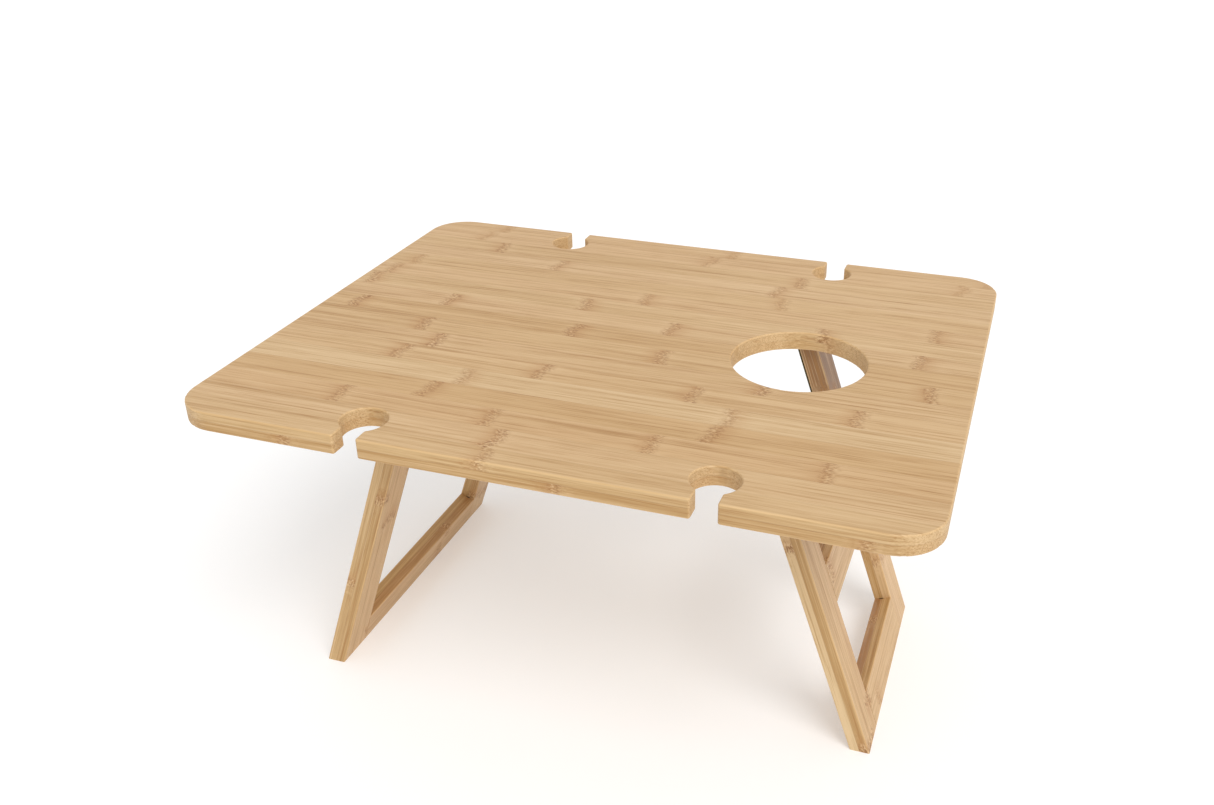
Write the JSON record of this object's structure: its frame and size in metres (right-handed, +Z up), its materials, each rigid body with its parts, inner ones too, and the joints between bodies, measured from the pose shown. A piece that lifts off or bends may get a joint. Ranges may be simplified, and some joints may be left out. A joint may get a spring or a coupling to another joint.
{
  "type": "folding side table",
  "caption": "Low bamboo picnic table: a rounded rectangular board with a bottle hole and glass notches, on two splayed sled frames that fold under it.",
  "frame": {"origin": "floor level under the centre of the board", "axes": "+X along the board's length, from the wide frame to the narrow frame; +Y across the board to its back edge; +Z up"},
  "size_m": [0.48, 0.38, 0.25],
  "materials": {
    "bamboo_board": "clear satin lacquer over carbonised bamboo strips",
    "bamboo_frame": "clear satin lacquer over two-ply bamboo",
    "dowel_wood": "raw beech",
    "hinge_steel": "yellow-zinc plated steel, sheared edges left dark",
    "pin_steel": "bright drawn steel",
    "screw_steel": "zinc-plated steel"
  },
  "bodies": {
    "board": {"tabletop": "bamboo_board", "board_screws": "screw_steel", "wide_front_board_leaf": "hinge_steel", "wide_rear_board_leaf": "hinge_steel", "narrow_front_board_leaf": "hinge_steel", "narrow_rear_board_leaf": "hinge_steel", "wide_front_hinge_pin": "pin_steel", "wide_rear_hinge_pin": "pin_steel", "narrow_front_hinge_pin": "pin_steel", "narrow_rear_hinge_pin": "pin_steel"},
    "wide_frame": {"wide_front_post": "bamboo_frame", "wide_rear_post": "bamboo_frame", "wide_runner": "bamboo_frame", "wide_frame_dowels": "dowel_wood", "wide_frame_screws": "screw_steel", "wide_front_leg_leaf": "hinge_steel", "wide_rear_leg_leaf": "hinge_steel"},
    "narrow_frame": {"narrow_front_post": "bamboo_frame", "narrow_rear_post": "bamboo_frame", "narrow_runner": "bamboo_frame", "narrow_mid_rail": "bamboo_frame", "narrow_frame_dowels": "dowel_wood", "narrow_frame_screws": "screw_steel", "narrow_front_leg_leaf": "hinge_steel", "narrow_rear_leg_leaf": "hinge_steel"}
  },
  "joints": [
    {"name": "wide_frame_fold", "type": "hinge", "parent": "board", "child": "wide_frame", "pos_m": [-0.10682, 0, 0.2333], "axis": [0, -1, 0], "range_deg": [0, 94]},
    {"name": "narrow_frame_fold", "type": "hinge", "parent": "board", "child": "narrow_frame", "pos_m": [0.10682, 0, 0.2333], "axis": [0, 1, 0], "range_deg": [0, 109.3]}
  ]
}
